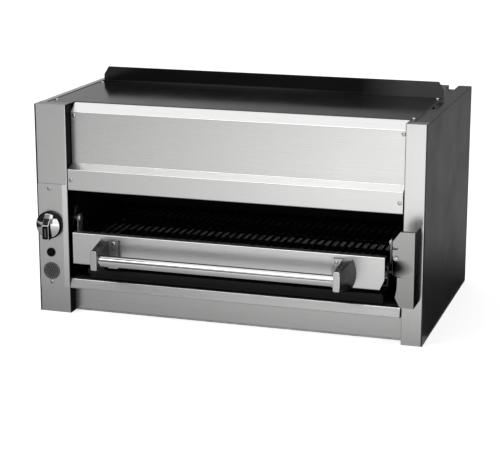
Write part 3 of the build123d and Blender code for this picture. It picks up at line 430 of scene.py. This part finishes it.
def burner_ceramic(
    name, hole, dark, light, rough, clouds, holes_scale, rim_range, strength, relief
):
    """Pale ceramic with dark holes on a fixed grid."""
    material, tree, shader = start_finish(name)
    vector = stretched(tree, real_size)
    holes = add_node(
        tree, "ShaderNodeTexVoronoi", Vector=vector, Scale=holes_scale, Randomness=0.0
    )
    rim = spread(tree, holes.outputs["Distance"], 0.0, 1.0, *rim_range)
    pale = shade_between(tree, noise(tree, vector, clouds), dark, light)
    bump(tree, shader, rim, strength, relief)
    set_inputs(
        tree, shader, Base_Color=colour_mix(tree, rim, (*hole, 1.0), pale), Roughness=rough
    )
    return material


panel_black = (0.022, 0.022, 0.0225)
panel_rough = (0.28, 0.4)
side_paint = painted("side_paint", panel_black, panel_rough, peel=420.0, strength=0.12)
# The faces of the left panel that look up get painted light.
left_paint_painted_light = painted(
    "left_paint_painted_light", panel_black, panel_rough, peel=420.0, strength=0.12, painted_top_light=(0.36, 0.36, 0.36)
)

left_seam = (0.0055, 0.007)
right_seam = (0.0045, 0.006)
top_left, top_right = (corner[0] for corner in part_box("top_panel"))
top_seams = ([top_left + inset for inset in left_seam], [top_right - inset for inset in right_seam])
top_paint = painted(
    "top_paint", (0.008, 0.008, 0.0082), rough=(0.1, 0.17), peel=420.0, strength=0.03, seams=top_seams
)
firebox_enamel = painted(
    "firebox_enamel", (0.008, 0.008, 0.008), rough=(0.4, 0.6), peel=300.0, strength=0.12, mottle=0.5,
    shine=0.15,
)

# The riser's foot line is a painted highlight and its right end is painted light.
any_distance = 40.0
foot_highlight_middle = -0.1
foot_highlight_up = 0.0025
foot_highlight_reach = (0.36, any_distance, 0.0045)
foot_highlight_share = 9.0
painted_light_end_reach = (0.2, any_distance, any_distance)
painted_light_end_share = 20.0
riser_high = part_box("flue_riser")[1]
riser_foot = (foot_highlight_middle, riser_high[1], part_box("top_panel")[1][2] + foot_highlight_up)
riser_enamel = painted(
    "riser_enamel", (0.005, 0.005, 0.0052), rough=(0.14, 0.2), peel=380.0, strength=0.03, shine=0.4,
    painted_highlights=(
        (riser_foot, foot_highlight_reach, foot_highlight_share), (riser_high, painted_light_end_reach, painted_light_end_share),
    ),
)
pipe_paint = painted("pipe_paint", (0.03, 0.03, 0.03), rough=(0.4, 0.55), peel=500.0, strength=0.2)
black_plastic = painted(
    "black_plastic", (0.004, 0.004, 0.004), rough=(0.2, 0.3), peel=700.0, strength=0.04, shine=0.06
)
vent_paint = painted(
    "vent_paint", (0.115, 0.115, 0.115), rough=(0.35, 0.5), peel=500.0, strength=0.1, shine=0.3
)
index_paint = painted(
    "index_paint", (0.06, 0.06, 0.06), rough=(0.35, 0.45), peel=600.0, strength=0.05, mottle=0.9
)
tile_ceramic = burner_ceramic(
    "tile_ceramic", hole=(0.05, 0.045, 0.04), dark=(0.66, 0.6, 0.5), light=(0.82, 0.78, 0.7),
    rough=0.85, clouds=30.0, holes_scale=380.0, rim_range=(0.22, 0.34), strength=0.6, relief=0.0008,
)
print("coatings ready")

# %% [markdown]
# ## A finish for each solid
# A solid whose shape is right stays as it is and takes a material. The steel of the hood and the rails
# is brushed along their length and that of the posts upwards, as sheet is when it is cut for them.

# %% A finish for each solid
finishes = {
    hood_steel: ["hood_front", "lower_front_rail", "rack_front_rail"],
    post_steel: ["left_post", "right_post", "control_panel"],
    lever_steel: ["lift_handle", "handle_arm"],
    cast_steel: ["handle_brackets"],
    side_paint: ["right_side_panel"],
    left_paint_painted_light: ["left_side_panel"],
    top_paint: ["top_panel"],
    riser_enamel: ["flue_riser"],
    firebox_enamel: ["left_liner", "right_liner", "rear_liner", "drip_tray", "tray_runners"],
    galvanised: ["back_panel", "base_pan", "burner_rails", "burner_boxes"],
    tile_ceramic: ["burner_tiles"],
    valve_brass: ["gas_valve", "valve_stem"],
    pipe_paint: ["gas_supply_pipe", "gas_inlet", "burner_manifold"],
    black_plastic: ["igniter_housing", "igniter_button", "knob_skirt"],
    vent_paint: ["vent_grille"],
    knob_chrome: ["knob_grip"],
    bar_chrome: ["handle_bar"],
    screw_steel: [
        "panel_screws", "hood_screws", "top_screws", "handle_screws", "lift_handle_bolts",
    ],
    grate_steel: ["wire_grate", "rack_frame"],
    right_zinc_painted_shade: ["right_carriage"],
    left_zinc_painted_light: ["left_carriage", "left_upper_arm"],
    pin_steel: ["carriage_pins"],
    zinc_plate: [
        "right_upper_arm", "lift_shaft", "left_lower_arm", "right_lower_arm",
        "pivot_studs", "spring_anchors", "carriage_ties",
        "roller_axles", "front_left_roller", "front_right_roller", "rear_left_roller",
        "rear_right_roller",
    ],
    spring_wire: ["left_spring", "right_spring"],
    bush_bronze: ["shaft_bushes"],
}
for material, names in finishes.items():
    for name in names:
        nodes[name].data.materials.clear()
        nodes[name].data.materials.append(material)
finished = {name for names in finishes.values() for name in names}
print("solids without a finish:", sorted(set(nodes) - finished))

# %% [markdown]
# ## Small pieces
# The solids keep screws, springs and threads plain, so these are made here. Each one starts from a
# circle or a grid and is shaped with bmesh operators, then becomes an object at the origin whose place
# is in its mesh. It rides on the body that carries it and hides the solid that it stands for.

# %% Piece helpers
crease = math.radians(35.0)


def place_copy(shape, part, matrix):
    """Joins a copy of one small shape, moved by a matrix, to a larger one."""
    mesh = bpy.data.meshes.new("part")
    part.to_mesh(mesh)
    mesh.transform(matrix)
    shape.from_mesh(mesh)
    bpy.data.meshes.remove(mesh)


def lift_faces(shape, faces, height):
    """Extrudes faces along Z and returns the vertices that moved."""
    lifted = bmesh.ops.extrude_face_region(shape, geom=faces)
    raised = [v for v in lifted["geom"] if isinstance(v, bmesh.types.BMVert)]
    bmesh.ops.translate(shape, vec=(0.0, 0.0, height), verts=raised)
    return raised


def break_edges(shape, raised, width):
    """Bevels the edges between the raised vertices."""
    edges = [edge for edge in shape.edges if all(v in raised for v in edge.verts)]
    bmesh.ops.bevel(
        shape, geom=edges, offset=width, segments=2, profile=0.5, affect="EDGES", material=-1
    )


def add_piece(name, shape, material, body, slot, *replaced):
    """Makes an object of a shape, on the body that carries it and for the solids it stands for."""
    bmesh.ops.recalc_face_normals(shape, faces=shape.faces)
    mesh = bpy.data.meshes.new(name)
    shape.to_mesh(mesh)
    shape.free()
    mesh.shade_smooth()
    mesh.set_sharp_from_angle(angle=crease)
    mesh.materials.append(material)
    piece = bpy.data.objects.new(name, mesh)
    scene.collection.objects.link(piece)
    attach(piece, body)
    if replaced:
        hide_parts(*replaced)
    print(name, len(mesh.polygons), "faces on", body)
    return piece


def facing(seat, axis):
    """Matrix that stands a shape made about Z on a seat, along an axis."""
    turn = Vector(along_z).rotation_difference(Vector(axis)).to_matrix().to_4x4()
    return Matrix.Translation(seat) @ turn


# %% [markdown]
# ## Screws
# A pan-head screw has a low dome and a cross recess. A six by six grid gives the top: its two middle
# rows and columns, less their ends, are pushed down as the cross. The grid's 24 edges are then bridged
# to rings of 24 that widen and fall to the seat, which makes the dome. The boxes of the plain solids say
# where each head sits.

# %% Cross-recess screws
screw_radius = 0.0048
screw_height = 0.0026
grid_cells = 6
rim_sides = 4 * grid_cells
grid_share = 0.5
recess_share = 0.55
dome_rings = ((0.78, 0.9), (0.94, 0.62), (1.0, 0.28), (1.0, 0.0))


def cross_screw():
    """Screw head about the Z axis, seated at zero."""
    shape = bmesh.new()
    half = grid_share * screw_radius
    bmesh.ops.create_grid(shape, x_segments=grid_cells, y_segments=grid_cells, size=half)
    bmesh.ops.translate(shape, vec=(0.0, 0.0, screw_height), verts=shape.verts)
    cell = 2.0 * half / grid_cells
    rim = [edge for edge in shape.edges if edge.is_boundary]
    cross = []
    for face in shape.faces:
        across, along = sorted(abs(v) for v in face.calc_center_median().xy)
        if across < cell and along < half - cell:
            cross.append(face)
    lift_faces(shape, cross, -recess_share * screw_height)
    left_over = [face for face in cross if face.is_valid]
    bmesh.ops.delete(shape, geom=left_over, context="FACES_ONLY")
    for width, level in dome_rings:
        place = Matrix.Translation((0.0, 0.0, level * screw_height))
        ring = bmesh.ops.create_circle(
            shape, radius=width * screw_radius, segments=rim_sides, matrix=place
        )
        loop = list({edge for vert in ring["verts"] for edge in vert.link_edges})
        bmesh.ops.bridge_loops(shape, edges=rim + loop)
        rim = loop
    return shape


def screw_set(name, node, body, axis, seats):
    """One piece with a screw head on each seat, in place of the plain heads."""
    shape = bmesh.new()
    head = cross_screw()
    for seat in seats:
        place_copy(shape, head, facing(seat, axis))
    head.free()
    add_piece(name, shape, screw_steel, body, "bright_screws", node)


def ends(low, high):
    """The two screw centres between the limits of a group of heads."""
    return (low + screw_radius, high - screw_radius)


towards_front = (0.0, -1.0, 0.0)
low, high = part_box("hood_screws")
hood_levels = ((low[2] + screw_radius, low[1] + screw_height), (high[2] - screw_radius, high[1]))
hood_seats = [(x, y, z) for x in ends(low[0], high[0]) for z, y in hood_levels]
screw_set("hood_screw_heads", "hood_screws", "casing", towards_front, hood_seats)

low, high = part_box("panel_screws")
panel_seats = [(middle(low, high)[0], high[1], z) for z in ends(low[2], high[2])]
screw_set("panel_screw_heads", "panel_screws", "casing", towards_front, panel_seats)

low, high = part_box("top_screws")
top_seats = [(x, y, low[2]) for x in ends(low[0], high[0]) for y in ends(low[1], high[1])]
screw_set("top_screw_heads", "top_screws", "casing", along_z, top_seats)

low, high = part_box("handle_screws")
handle_seats = [(x, high[1], z) for x in ends(low[0], high[0]) for z in ends(low[2], high[2])]
screw_set("handle_screw_heads", "handle_screws", "rack", towards_front, handle_seats)

# %% [markdown]
# The lift handle is held by hexagon bolts. A circle of six edges is extruded, its top edges are
# bevelled as a bolt head's are, and a thin washer face stays under it.

# %% Hexagon bolts
bolt_radius = 0.0055
bolt_height = 0.0035
bolt_washer = 0.0005
bolt_bevel = 0.0006
arm_bolt_heights = (0.1821, 0.2059)


def hexagon_bolt():
    """Bolt head on its washer face, about the Z axis and seated at zero."""
    shape = bmesh.new()
    bmesh.ops.create_circle(shape, cap_ends=True, radius=bolt_radius, segments=rim_sides)
    lift_faces(shape, shape.faces[:], bolt_washer)
    head = bmesh.new()
    seat = Matrix.Translation((0.0, 0.0, bolt_washer))
    bmesh.ops.create_circle(head, cap_ends=True, radius=bolt_radius, segments=6, matrix=seat)
    raised = lift_faces(head, head.faces[:], bolt_height - bolt_washer)
    break_edges(head, raised, bolt_bevel)
    place_copy(shape, head, Matrix.Identity(4))
    head.free()
    return shape


low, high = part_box("lift_handle_bolts")
bolt = hexagon_bolt()
shape = bmesh.new()
face_seat = (high[0] - bolt_radius, low[1] + bolt_height, high[2] - bolt_radius)
place_copy(shape, bolt, facing(face_seat, towards_front))
for height in arm_bolt_heights:
    place_copy(shape, bolt, facing((low[0], high[1] - bolt_radius, height), along_x))
bolt.free()
add_piece("hexagon_bolts", shape, screw_steel, "carriage", "bright_screws", "lift_handle_bolts")

# %% [markdown]
# ## Counterbalance springs
# An extension spring is wire wound in a helix with a hook at each end. A small circle of wire, spun
# about the axis with a step up at each turn, makes the coil. The hooks are rings of the same wire round
# the studs. As the rack rises, the tails of the arms drop and let the springs shorten; the coils made
# here keep one length.

# %% Counterbalance springs
wire_radius = 0.00125
coil_radius = 0.00775
hook_radius = 0.0075
stud_reach = 0.0053
coil_pitch = 0.0036
coil_steps = 16
wire_sides = 8


def wound_spring(low, high):
    """Coil and two hooks between the studs at the ends of a spring's box."""
    shape = bmesh.new()
    x, y = middle(low, high)[:2]
    stud_heights = (low[2] - stud_reach, high[2] + stud_reach)
    bottom = stud_heights[0] + hook_radius
    length = stud_heights[1] - hook_radius - bottom
    turns = round(length / coil_pitch)
    turn_x = Matrix.Rotation(quarter_turn, 4, "X")
    turn_y = Matrix.Rotation(quarter_turn, 4, "Y")
    start = Matrix.Translation((x + coil_radius, y, bottom)) @ turn_x
    bmesh.ops.create_circle(shape, radius=wire_radius, segments=wire_sides, matrix=start)
    bmesh.ops.spin(
        shape,
        geom=shape.verts[:] + shape.edges[:],
        cent=(x, y, 0.0),
        axis=along_z,
        dvec=(0.0, 0.0, length / (turns * coil_steps)),
        angle=full_turn * turns,
        steps=turns * coil_steps,
    )
    for height, side in zip(stud_heights, (1, -1)):
        hook = bmesh.new()
        place = Matrix.Translation((x, y, height + side * hook_radius))
        section = place @ turn_y @ turn_x
        bmesh.ops.create_circle(hook, radius=wire_radius, segments=wire_sides, matrix=section)
        bmesh.ops.spin(
            hook,
            geom=hook.verts[:] + hook.edges[:],
            cent=(x, y, height),
            axis=along_x,
            angle=full_turn,
            steps=2 * coil_steps,
            use_merge=True,
        )
        bridge = Matrix.Translation((coil_radius / 2, 0.0, 0.0)) @ turn_y
        bmesh.ops.create_cone(
            hook, cap_ends=True, segments=wire_sides, radius1=wire_radius, radius2=wire_radius,
            depth=coil_radius, matrix=place @ bridge,
        )
        place_copy(shape, hook, Matrix.Identity(4))
        hook.free()
    return shape


for side in ("left", "right"):
    low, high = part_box(side + "_spring")
    spring = add_piece(
        side + "_wound_spring", wound_spring(low, high), spring_wire, "casing", "spring_steel",
        side + "_spring",
    )
    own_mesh(spring)

# %% [markdown]
# ## Knob face and gas thread
# The front of the knob's pointer has a black plate laid on it, with a grey index line. A grid of one
# face gets its corners bevelled, is extruded, and has its front edge broken. The gas socket at the back
# has a female pipe thread: a three-cornered ridge spun along the bore, with the pitch as its step.

# %% Knob face
plate_half = (0.0070, 0.0155)
plate_drop = 0.0135
plate_rise = 0.0005
plate_corner = 0.0022
plate_bevel = 0.0002
line_half = (0.0022, 0.0105)
line_rise = 0.0003


def raised_plate(half, corner, rise, bevel):
    """Plate about the Z axis with round corners and a broken front edge."""
    shape = bmesh.new()
    bmesh.ops.create_grid(shape, x_segments=1, y_segments=1, size=1.0)
    bmesh.ops.scale(shape, vec=(half[0], half[1], 1.0), verts=shape.verts)
    bmesh.ops.bevel(
        shape, geom=shape.verts[:], offset=corner, segments=5, profile=0.5, affect="VERTICES",
        material=-1,
    )
    raised = lift_faces(shape, shape.faces[:], rise)
    break_edges(shape, raised, bevel)
    return shape


knob_axis = middle(*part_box("knob_skirt"))
pointer_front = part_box("knob_grip")[0][1]
plate_seat = (knob_axis[0], pointer_front, knob_axis[2] - plate_drop)
upright = Matrix.Translation(plate_seat) @ Matrix.Rotation(quarter_turn, 4, "X")
shape = raised_plate(plate_half, plate_corner, plate_rise, plate_bevel)
bmesh.ops.transform(shape, matrix=upright, verts=shape.verts)
add_piece("knob_face_plate", shape, black_plastic, "knob", "black_plastic")
shape = raised_plate(line_half, line_half[0] / 2, line_rise, plate_bevel / 2)
lifted = Matrix.Translation((0.0, -plate_rise, 0.0)) @ upright
bmesh.ops.transform(shape, matrix=lifted, verts=shape.verts)
add_piece("knob_index_line", shape, index_paint, "knob", "chrome")

# %% Gas thread
bore_radius = 0.012
thread_pitch = 0.00231
thread_turns = 8
thread_depth = 0.0011
thread_steps = 32

low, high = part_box("gas_inlet")
bore = middle(low, high)
shape = bmesh.new()
thread_start = Matrix.Translation((bore[0] + bore_radius, high[1] - thread_pitch / 2, bore[2]))
section = thread_start @ Matrix.Rotation(quarter_turn, 4, "Z")
bmesh.ops.create_circle(shape, radius=thread_depth, segments=3, matrix=section)
bmesh.ops.spin(
    shape,
    geom=shape.verts[:] + shape.edges[:],
    cent=(bore[0], 0.0, bore[2]),
    axis=along_y,
    dvec=(0.0, -thread_pitch / thread_steps, 0.0),
    angle=full_turn * thread_turns,
    steps=thread_turns * thread_steps,
)
bmesh.ops.holes_fill(shape, edges=[edge for edge in shape.edges if edge.is_boundary], sides=3)
add_piece("gas_inlet_thread", shape, pipe_paint, "casing", "black_pipe")

# %% [markdown]
# ## Floor, world and lamps
# The photograph has a white ground, so the floor is pale and shows white to the camera, while its
# diffuse half still takes the grill's shadow. Metal sees the same white, because glossy and transmission
# rays are counted with the camera's. The light is one large soft lamp above and a smaller one at the
# upper left. Brushed steel shows mostly what it faces, so cards stand where only reflections see them,
# as a photographer's flags do. Sheets on the floor grade the front from dark at the left to bright at
# the right, walls round the grill hold the greys of its other sides, and a bright ceiling with dark gaps
# draws the highlights of the handle bar and the knob.

# %% Floor and world
white = (1.0, 1.0, 1.0, 1.0)
floor_grey = (0.86, 0.86, 0.86, 1.0)
floor_size = (80.0, 80.0)
floor_glow = 0.62
ambient = 0.5
level_turn = (0.0, 0.0, 0.0)


def white_to_the_eye(tree):
    """1 for camera, glossy and transmission rays."""
    path = tree.nodes.new("ShaderNodeLightPath")
    total = path.outputs["Is Camera Ray"]
    for name in ("Is Glossy Ray", "Is Transmission Ray"):
        total = calculate(tree, "MAXIMUM", total, path.outputs[name])
    return total


def start_stage_finish(name):
    """Material without a Principled BSDF, its nodes and the socket for its surface."""
    material, tree, shader = start_finish(name)
    tree.nodes.remove(shader)
    return material, tree, tree.nodes["Material Output"].inputs["Surface"]


def floor_finish():
    """Pale floor that glows towards the camera and takes shadows."""
    material, tree, surface = start_stage_finish("floor")
    diffuse = add_node(tree, "ShaderNodeBsdfDiffuse", Color=floor_grey)
    strength = spread(tree, white_to_the_eye(tree), 0.0, floor_glow, 0.0, 1.0)
    glow = add_node(tree, "ShaderNodeEmission", Color=white, Strength=strength)
    both = tree.nodes.new("ShaderNodeAddShader")
    tree.links.new(diffuse.outputs["BSDF"], both.inputs[0])
    tree.links.new(glow.outputs["Emission"], both.inputs[1])
    tree.links.new(both.outputs["Shader"], surface)
    return material


def flat_piece(name, size, place, material, turn=level_turn):
    """Flat stage card made from a grid."""
    shape = bmesh.new()
    bmesh.ops.create_grid(shape, x_segments=1, y_segments=1, size=0.5)
    bmesh.ops.scale(shape, vec=(size[0], size[1], 1.0), verts=shape.verts)
    mesh = bpy.data.meshes.new(name)
    shape.to_mesh(mesh)
    shape.free()
    mesh.materials.append(material)
    card = bpy.data.objects.new(name, mesh)
    scene.collection.objects.link(card)
    card.location = place
    card.rotation_euler = turn
    return card


flat_piece("floor", floor_size, (0.0, 0.0, 0.0), floor_finish())

world = bpy.data.worlds.new("studio")
scene.world = world
world.use_nodes = True
sky = world.node_tree
sky_level = spread(sky, white_to_the_eye(sky), ambient, 1.0, 0.0, 1.0)
set_inputs(sky, sky.nodes["Background"], Color=white, Strength=sky_level)

# %% Lamps and cards
grill_middle = (0.0, -0.1, 0.25)
upright_turn = (quarter_turn, 0.0, 0.0)
side_turn = (quarter_turn, 0.0, quarter_turn)
sheet_height = 0.0008
upper_sheet_height = 0.0012


def one_grey(grey):
    """Grading with the same grey all over a card."""
    return (-1.0, 1.0, grey, grey)


even = one_grey(1.0)
dark = one_grey(0.02)


def soft_lamp(name, place, target, size, power, in_reflections):
    """Area lamp that looks at a target."""
    data = bpy.data.lights.new(name, "AREA")
    data.shape = "RECTANGLE"
    data.size, data.size_y = size
    data.energy = power
    lamp = bpy.data.objects.new(name, data)
    scene.collection.objects.link(lamp)
    lamp.location = place
    lamp.rotation_mode = "QUATERNION"
    lamp.rotation_quaternion = (Vector(target) - Vector(place)).to_track_quat("-Z", "Y")
    lamp.visible_glossy = in_reflections


def flag(name, size, place, turn, across=even, along=even):
    """Card that only reflections see. Each grading gives two places on the card and their greys."""
    material, tree, surface = start_stage_finish(name)
    graded = []
    for axis, (start, end, first, last) in zip("XY", (across, along)):
        graded.append(spread(tree, one_axis(tree, "Object", axis), first, last, start, end))
    grey = calculate(tree, "MULTIPLY", *graded)
    glow = add_node(tree, "ShaderNodeEmission", Color=white, Strength=grey)
    tree.links.new(glow.outputs["Emission"], surface)
    card = flat_piece(name, size, place, material, turn)
    card.visible_camera = False
    card.visible_diffuse = False
    card.visible_transmission = False
    card.visible_shadow = False


soft_lamp(
    "overhead", (-0.3, 1.2, 3.2), target=(-0.3, 1.1, 0.0), size=(5.0, 5.4), power=30.0,
    in_reflections=True,
)
soft_lamp(
    "key", (-1.6, -2.4, 2.4), target=grill_middle, size=(1.8, 1.4), power=25.0, in_reflections=False
)
flag(
    "front_sheet", (4.0, 3.4), (-1.4, -1.9, sheet_height), level_turn,
    across=(0.07, 1.5, 0.57, 1.75), along=(-0.1, 1.6, 1.08, 0.27),
)
flag("left_sheet", (3.0, 2.6), (-2.5, 0.4, upper_sheet_height), level_turn, across=dark)
flag(
    "front_wall", (12.0, 1.8), (0.0, -5.0, 0.9), upright_turn, across=(-3.0, 1.0, 0.12, 0.3)
)
flag(
    "front_wall_top", (12.0, 1.8), (0.0, -5.0, 2.7), upright_turn, across=(-2.2, -0.9, 0.33, 1.5)
)
flag("front_ceiling", (12.0, 2.4), (0.0, -2.8, 3.6), level_turn, across=one_grey(3.6))
flag("ceiling_gap", (1.0, 1.2), (-1.77, -1.4, 3.0), level_turn, across=dark)
flag("right_front_card", (3.9, 1.8), (1.65, -4.9, 0.9), upright_turn, across=one_grey(1.3))
flag("right_front_gap", (6.6, 1.8), (2.8, -4.9, 2.7), upright_turn, across=dark)
flag("back_wall", (12.0, 3.0), (0.0, 4.2, 1.5), upright_turn, across=(-2.4, -0.3, 0.48, 0.2))
flag("left_wall", (12.0, 3.6), (-4.5, 0.0, 1.8), side_turn, across=dark)
flag("right_wall", (12.0, 3.6), (4.5, 0.0, 1.8), side_turn, across=(-1.5, -0.3, 1.2, 0.05))
flag(
    "right_sheet", (4.0, 4.4), (2.458, 1.85, sheet_height), level_turn, along=(-1.6, -1.1, 0.02, 0.34)
)
print("stage ready")
